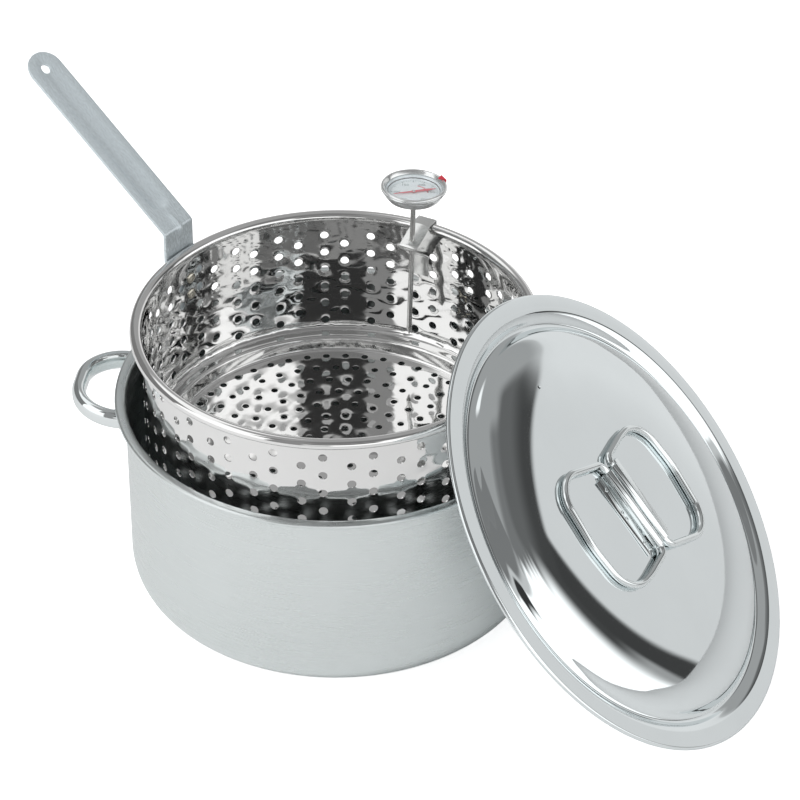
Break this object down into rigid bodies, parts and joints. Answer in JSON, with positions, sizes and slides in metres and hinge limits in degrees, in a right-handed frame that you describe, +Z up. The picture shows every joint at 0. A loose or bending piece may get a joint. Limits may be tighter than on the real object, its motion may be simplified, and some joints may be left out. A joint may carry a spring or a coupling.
{
  "type": "deep fryer",
  "caption": "Stainless stock-pot deep fryer: wide pot with side handles, lift-out basket on a strap handle, domed lid with folding bails, clip-on dial thermometer.",
  "frame": {"origin": "centre of the underside of the pot's flat base, on the surface that it stands on", "axes": "+Z up along the pot's axis of revolution; +X to the right and +Y away from the viewer in the usual front view, with the basket's handle towards -X +Y and the lid leaning on the +X -Y side"},
  "size_m": [0.5131, 0.4486, 0.3132],
  "materials": {
    "satin_steel": "satin stainless steel",
    "polished_steel": "mirror polished stainless steel",
    "dial_face": "white printed dial",
    "red_paint": "red paint",
    "rubber": "black gasket rubber",
    "glass": "clear lens"
  },
  "bodies": {
    "pot": {"pot_body": "satin_steel", "side_handle_left": "polished_steel", "side_handle_right": "polished_steel"},
    "basket": {"basket_shell": "polished_steel", "basket_handle": "satin_steel", "basket_handle_rivet_1": "satin_steel", "basket_handle_rivet_2": "satin_steel"},
    "lid": {"lid_shell": "polished_steel", "lid_hinge_bracket": "polished_steel"},
    "bail_left": {"lid_bail_left": "polished_steel"},
    "bail_right": {"lid_bail_right": "polished_steel"},
    "clip": {"thermometer_clip": "satin_steel"},
    "thermometer": {"thermometer_stem": "satin_steel", "thermometer_stem_tip": "satin_steel", "thermometer_spindle_bush": "satin_steel", "thermometer_bimetal_coil": "satin_steel", "thermometer_case": "satin_steel", "thermometer_bezel": "polished_steel", "thermometer_calibration_nut": "satin_steel", "thermometer_dial": "dial_face", "thermometer_gasket": "rubber", "thermometer_lens": "glass"},
    "needle": {"thermometer_needle": "red_paint", "thermometer_spindle": "satin_steel"},
    "set_marker": {"thermometer_set_marker": "red_paint"}
  },
  "joints": [
    {"name": "basket_lift", "type": "slide", "parent": "pot", "child": "basket", "axis": [0, 0, 1], "range_m": [-0.074, 0]},
    {"name": "lid_lift", "type": "slide", "parent": "pot", "child": "lid", "axis": [0.6977, -0.2656, 0.6654], "range_m": [0, 0.2]},
    {"name": "bail_left_fold", "type": "hinge", "parent": "lid", "child": "bail_left", "pos_m": [0.19425, -0.12124, 0.1361], "axis": [-0.5753, 0.3457, 0.7413], "range_deg": [0, 90]},
    {"name": "bail_right_fold", "type": "hinge", "parent": "lid", "child": "bail_right", "pos_m": [0.19827, -0.11278, 0.13527], "axis": [0.5753, -0.3457, -0.7413], "range_deg": [0, 90]},
    {"name": "clip_lift", "type": "slide", "parent": "basket", "child": "clip", "axis": [0, 0, 1], "range_m": [0, 0.08]},
    {"name": "thermometer_slide", "type": "slide", "parent": "clip", "child": "thermometer", "axis": [0.0287, 0.0539, 0.9981], "range_m": [-0.02, 0.05]},
    {"name": "needle_turn", "type": "hinge", "parent": "thermometer", "child": "needle", "pos_m": [0.05513, 0.10368, 0.23989], "axis": [0.0287, 0.0539, 0.9981], "range_deg": [-120, 150]},
    {"name": "set_marker_turn", "type": "hinge", "parent": "thermometer", "child": "set_marker", "pos_m": [0.05527, 0.10395, 0.24488], "axis": [0.0287, 0.0539, 0.9981], "range_deg": [-150, 150]}
  ]
}
